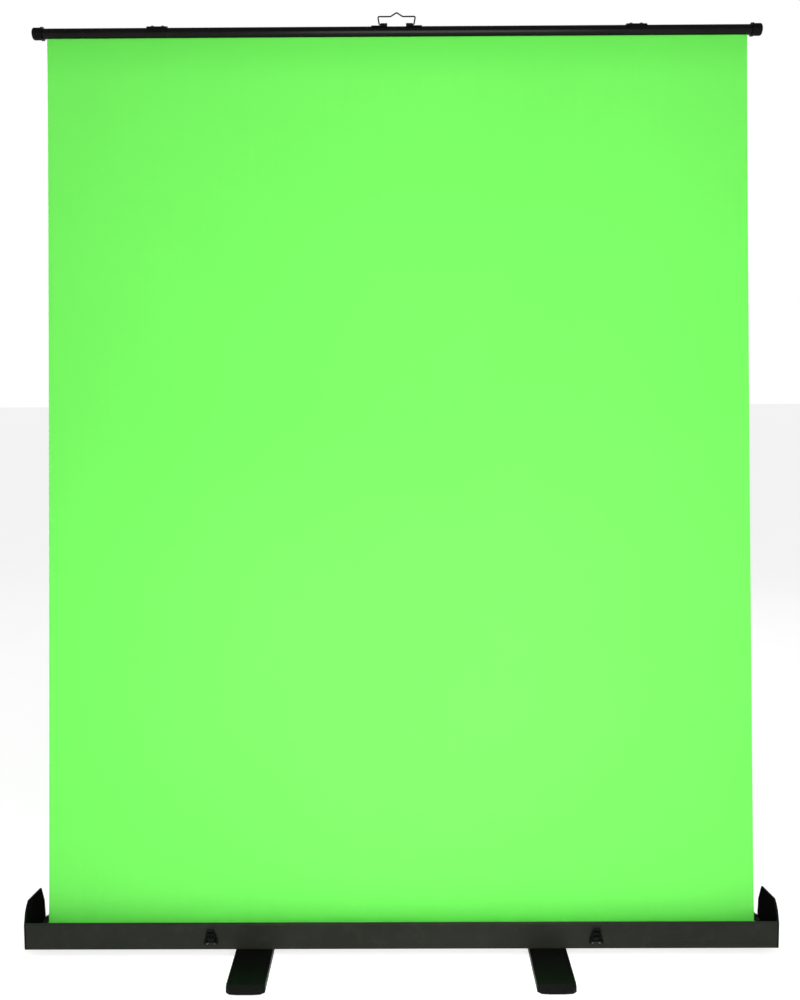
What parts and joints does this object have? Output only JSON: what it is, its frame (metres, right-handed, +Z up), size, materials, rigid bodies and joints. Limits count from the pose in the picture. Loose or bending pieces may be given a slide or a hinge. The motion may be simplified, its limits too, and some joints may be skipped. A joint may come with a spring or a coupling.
{
  "type": "collapsible backdrop panel",
  "caption": "Pull-up fabric backdrop: a low case on swivelling feet holds the roller, and crossing folding arms lift the top bar that keeps the green panel taut.",
  "frame": {"origin": "on the floor below the centre of the case, the panel raised and the feet turned out", "axes": "+X along the case to the panel's right as seen from the front, +Y to the back, +Z up"},
  "size_m": [1.568, 0.355, 1.9868],
  "materials": {
    "dark_aluminium": "satin dark grey powder coat",
    "black_plastic": "fine moulded texture",
    "black_steel": "satin black",
    "lid_aluminium": "satin dark grey powder coat",
    "bar_enamel": "satin black",
    "bright_steel": "zinc plated",
    "spring_steel": "oiled wire",
    "arm_aluminium": "satin anodised",
    "fitting_plastic": "glass filled nylon",
    "roller_aluminium": "mill finish",
    "green_fabric": "matte knitted polyester",
    "spline_plastic": "extruded",
    "pad_rubber": "soft"
  },
  "bodies": {
    "case": {"base_channel": "dark_aluminium", "end_plate_left": "black_plastic", "end_plate_right": "black_plastic", "end_plate_screws": "bright_steel", "roller_brackets": "black_steel", "roller_idle_pin": "bright_steel", "spring_shaft": "bright_steel", "roller_spring": "spring_steel", "arm_base_left": "black_steel", "arm_base_right": "black_steel", "base_pivot_pins": "bright_steel", "foot_pivot_bolts": "bright_steel", "latch_plates": "black_steel", "case_rivets": "bright_steel", "fabric_panel": "green_fabric"},
    "roller": {"roller_tube": "roller_aluminium", "fabric_wrap": "green_fabric", "roller_plugs": "black_plastic"},
    "top_bar": {"top_bar": "bar_enamel", "top_bar_cap_left": "black_plastic", "top_bar_cap_right": "black_plastic", "top_bracket_left": "black_steel", "top_bracket_right": "black_steel", "top_bracket_screws": "bright_steel", "fabric_spline": "spline_plastic", "hanger_lugs": "black_steel", "top_pivot_pins": "bright_steel"},
    "hanger": {"hanger_wire": "black_steel"},
    "lid": {"lid_shell": "lid_aluminium", "handle_mounts": "black_plastic", "latch_keepers": "black_steel"},
    "handle": {"carry_handle": "black_plastic"},
    "lower_arm_left": {"lower_arm_left": "arm_aluminium", "lower_arm_left_fittings": "fitting_plastic", "lower_arm_left_spring": "spring_steel", "lower_arm_left_anchor": "bright_steel", "elbow_pin_left": "bright_steel"},
    "upper_arm_left": {"upper_arm_left": "arm_aluminium", "upper_arm_left_fittings": "fitting_plastic", "upper_arm_left_spring": "spring_steel", "upper_arm_left_anchor": "bright_steel"},
    "lower_arm_right": {"lower_arm_right": "arm_aluminium", "lower_arm_right_fittings": "fitting_plastic", "lower_arm_right_spring": "spring_steel", "lower_arm_right_anchor": "bright_steel", "elbow_pin_right": "bright_steel"},
    "upper_arm_right": {"upper_arm_right": "arm_aluminium", "upper_arm_right_fittings": "fitting_plastic", "upper_arm_right_spring": "spring_steel", "upper_arm_right_anchor": "bright_steel"},
    "foot_left": {"foot_left": "black_steel", "foot_caps_left": "black_plastic", "foot_pads_left": "pad_rubber"},
    "latch_lever_left": {"latch_lever_left": "black_steel"},
    "latch_bail_left": {"latch_bail_left": "black_steel"},
    "foot_right": {"foot_right": "black_steel", "foot_caps_right": "black_plastic", "foot_pads_right": "pad_rubber"},
    "latch_lever_right": {"latch_lever_right": "black_steel"},
    "latch_bail_right": {"latch_bail_right": "black_steel"}
  },
  "joints": [
    {"name": "raise", "type": "hinge", "parent": "case", "child": "lower_arm_left", "pos_m": [-0.51, 0.036, 0.061], "axis": [0, 1, 0], "range_deg": [0, 58.5], "deforming": ["fabric_panel"]},
    {"name": "elbow_left", "type": "hinge", "parent": "lower_arm_left", "child": "upper_arm_left", "pos_m": [0.045, 0.03, 0.993], "axis": [0, 1, 0], "range_deg": [-117, 0]},
    {"name": "bar_pivot_left", "type": "hinge", "parent": "upper_arm_left", "child": "top_bar", "pos_m": [-0.51, 0.024, 1.925], "axis": [0, 1, 0], "range_deg": [0, 58.5]},
    {"name": "base_pivot_right", "type": "hinge", "parent": "case", "child": "lower_arm_right", "pos_m": [0.51, 0.012, 0.061], "axis": [0, 1, 0], "range_deg": [-58.5, 0]},
    {"name": "elbow_right", "type": "hinge", "parent": "lower_arm_right", "child": "upper_arm_right", "pos_m": [-0.045, 0.006, 0.993], "axis": [0, 1, 0], "range_deg": [0, 117]},
    {"name": "roller_turn", "type": "hinge", "parent": "case", "child": "roller", "pos_m": [0, -0.033, 0.046], "axis": [1, 0, 0], "range_deg": [-5968, 0]},
    {"name": "lid_hinge", "type": "hinge", "parent": "case", "child": "lid", "pos_m": [0, 0.054, 0.027], "axis": [1, 0, 0], "range_deg": [0, 28]},
    {"name": "handle_swing", "type": "hinge", "parent": "lid", "child": "handle", "pos_m": [0, 0.14581, 0.089], "axis": [1, 0, 0], "range_deg": [0, 165]},
    {"name": "hanger_fold", "type": "hinge", "parent": "top_bar", "child": "hanger", "pos_m": [0, -0.017, 1.9605], "axis": [1, 0, 0], "range_deg": [-90, 90]},
    {"name": "foot_left_swivel", "type": "hinge", "parent": "case", "child": "foot_left", "pos_m": [-0.305, 0, 0.01], "axis": [0, 0, 1], "range_deg": [0, 90]},
    {"name": "foot_right_swivel", "type": "hinge", "parent": "case", "child": "foot_right", "pos_m": [0.305, 0, 0.01], "axis": [0, 0, 1], "range_deg": [-90, 0]},
    {"name": "latch_lever_left_swing", "type": "hinge", "parent": "case", "child": "latch_lever_left", "pos_m": [-0.395, -0.05975, 0.03862], "axis": [1, 0, 0], "range_deg": [0, 110]},
    {"name": "latch_bail_left_swing", "type": "hinge", "parent": "latch_lever_left", "child": "latch_bail_left", "pos_m": [-0.395, -0.06193, 0.04748], "axis": [1, 0, 0], "range_deg": [0, 60]},
    {"name": "latch_lever_right_swing", "type": "hinge", "parent": "case", "child": "latch_lever_right", "pos_m": [0.405, -0.05975, 0.03862], "axis": [1, 0, 0], "range_deg": [0, 110]},
    {"name": "latch_bail_right_swing", "type": "hinge", "parent": "latch_lever_right", "child": "latch_bail_right", "pos_m": [0.405, -0.06193, 0.04748], "axis": [1, 0, 0], "range_deg": [0, 60]}
  ],
  "couplings": [
    {"joint": "elbow_left", "follows": "raise", "ratio": -2},
    {"joint": "bar_pivot_left", "follows": "raise", "ratio": 1},
    {"joint": "base_pivot_right", "follows": "raise", "ratio": -1},
    {"joint": "elbow_right", "follows": "raise", "ratio": 2},
    {"joint": "roller_turn", "follows": "raise", "ratio": -102}
  ]
}
